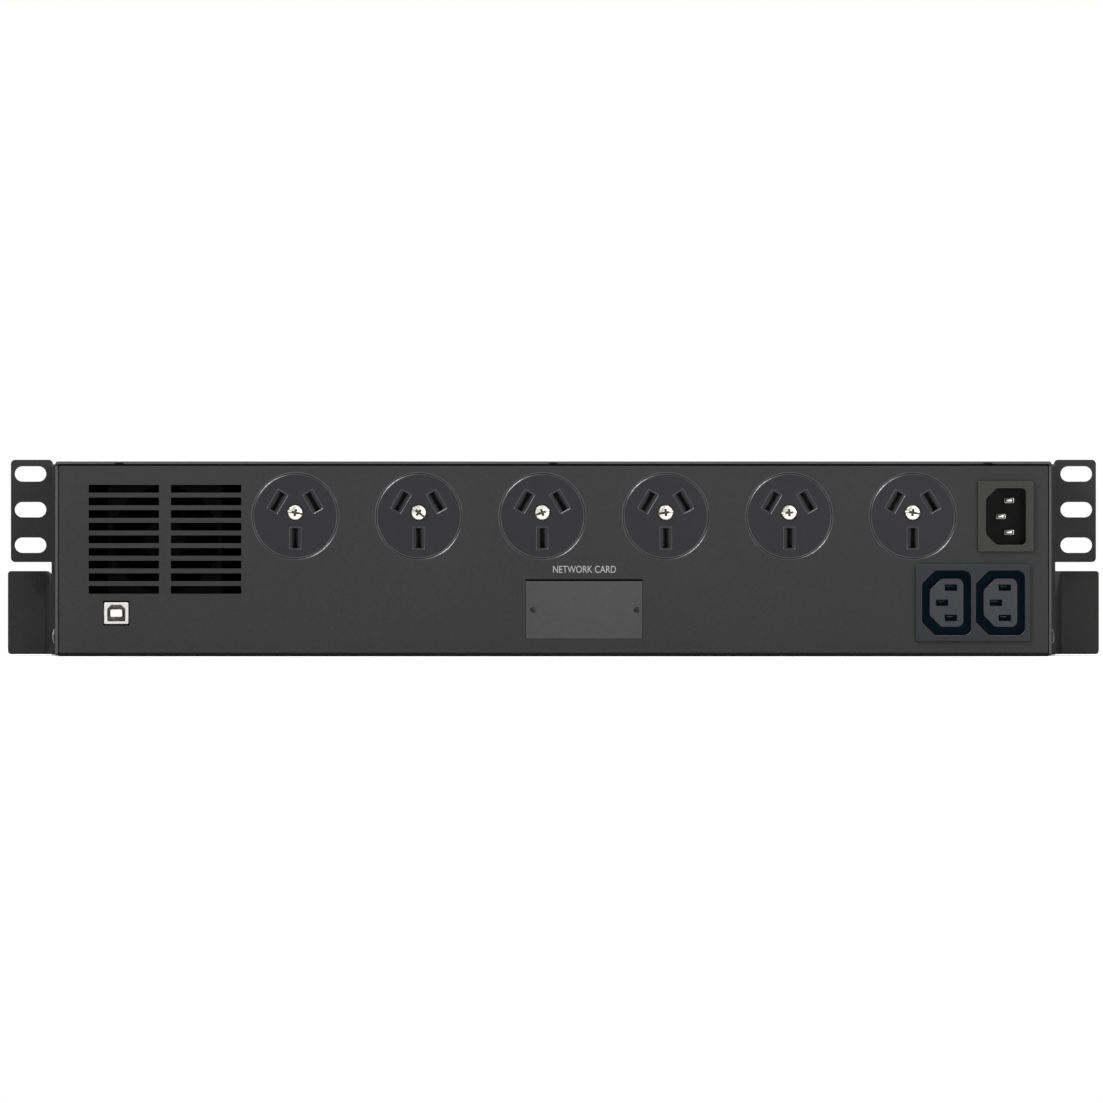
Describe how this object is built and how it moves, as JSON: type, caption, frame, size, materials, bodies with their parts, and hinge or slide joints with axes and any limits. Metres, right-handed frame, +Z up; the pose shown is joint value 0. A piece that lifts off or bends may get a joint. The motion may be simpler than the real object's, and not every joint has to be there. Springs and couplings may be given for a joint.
{
  "type": "rackmount ups",
  "caption": "Two-unit rack-mounted uninterruptible power supply with round outlets, appliance outlets, slotted ears and a front battery drawer.",
  "frame": {"origin": "on the underside, at the middle of the overall width and depth", "axes": "+Z up, +Y out of the rear panel with the sockets, -Y out of the front bezel, +X to the left when the rear panel is looked at"},
  "size_m": [0.4856, 0.3, 0.0865],
  "materials": {
    "powder_coat": "satin",
    "cover_plate_coat": "satin",
    "zinc_sheet": "satin",
    "bright_screw": "gloss",
    "dark_screw": "satin",
    "outlet_plastic": "satin",
    "inlet_plastic": "gloss",
    "contact_metal": "gloss",
    "usb_plastic": "satin",
    "fan_plastic": "satin",
    "core_steel": "satin",
    "winding": "satin",
    "circuit_board": "satin",
    "heat_sink_metal": "satin",
    "capacitor_sleeve": "gloss",
    "battery_case": "satin",
    "bezel_plastic": "satin",
    "display_glass": "gloss",
    "button_plastic": "satin"
  },
  "bodies": {
    "chassis": {"base_pan": "powder_coat", "top_cover": "powder_coat", "rear_panel": "powder_coat", "rack_bracket_left": "powder_coat", "rack_bracket_right": "powder_coat", "bracket_screw_left_1": "dark_screw", "bracket_screw_left_2": "dark_screw", "bracket_screw_left_3": "dark_screw", "bracket_screw_right_1": "dark_screw", "bracket_screw_right_2": "dark_screw", "bracket_screw_right_3": "dark_screw", "outlet_1": "outlet_plastic", "outlet_2": "outlet_plastic", "outlet_3": "outlet_plastic", "outlet_4": "outlet_plastic", "outlet_5": "outlet_plastic", "outlet_6": "outlet_plastic", "outlet_screw_1": "bright_screw", "outlet_screw_2": "bright_screw", "outlet_screw_3": "bright_screw", "outlet_screw_4": "bright_screw", "outlet_screw_5": "bright_screw", "outlet_screw_6": "bright_screw", "inlet_housing": "inlet_plastic", "inlet_pin_line": "contact_metal", "inlet_pin_neutral": "contact_metal", "inlet_pin_earth": "contact_metal", "dual_outlet_housing": "inlet_plastic", "usb_shell": "contact_metal", "usb_tongue": "usb_plastic", "comm_board": "circuit_board", "slot_cover": "cover_plate_coat", "slot_screw_1": "dark_screw", "slot_screw_2": "dark_screw", "card_bay": "zinc_sheet", "fan_bracket": "zinc_sheet", "fan_frame": "fan_plastic", "transformer_core": "core_steel", "transformer_winding": "winding", "main_board": "circuit_board", "power_board": "circuit_board", "heat_sink": "heat_sink_metal", "capacitor_1": "capacitor_sleeve", "capacitor_2": "capacitor_sleeve", "battery_socket": "inlet_plastic", "divider_wall": "zinc_sheet", "front_bezel": "bezel_plastic", "display_window": "display_glass", "display_board": "circuit_board"},
    "battery_drawer": {"battery_tray": "zinc_sheet", "battery_1": "battery_case", "battery_2": "battery_case", "battery_plug": "bezel_plastic", "drawer_front": "bezel_plastic"},
    "fan": {"fan_rotor": "fan_plastic"},
    "power": {"power_button": "button_plastic"},
    "key_1": {"menu_key_1": "button_plastic"},
    "key_2": {"menu_key_2": "button_plastic"},
    "key_3": {"menu_key_3": "button_plastic"}
  },
  "joints": [
    {"name": "drawer_slide", "type": "slide", "parent": "chassis", "child": "battery_drawer", "axis": [0, -1, 0], "range_m": [0, 0.15]},
    {"name": "fan_spin", "type": "hinge", "parent": "chassis", "child": "fan", "pos_m": [0.1708, 0.136, 0.051], "axis": [0, 1, 0], "continuous": true},
    {"name": "power_press", "type": "slide", "parent": "chassis", "child": "power", "axis": [0, 1, 0], "range_m": [0, 0.0015], "stiffness_N_per_m": 300, "springref_m": -0.002},
    {"name": "key_1_press", "type": "slide", "parent": "chassis", "child": "key_1", "axis": [0, 1, 0], "range_m": [0, 0.0008], "stiffness_N_per_m": 250, "springref_m": -0.002},
    {"name": "key_2_press", "type": "slide", "parent": "chassis", "child": "key_2", "axis": [0, 1, 0], "range_m": [0, 0.0008], "stiffness_N_per_m": 250, "springref_m": -0.002},
    {"name": "key_3_press", "type": "slide", "parent": "chassis", "child": "key_3", "axis": [0, 1, 0], "range_m": [0, 0.0008], "stiffness_N_per_m": 250, "springref_m": -0.002}
  ]
}
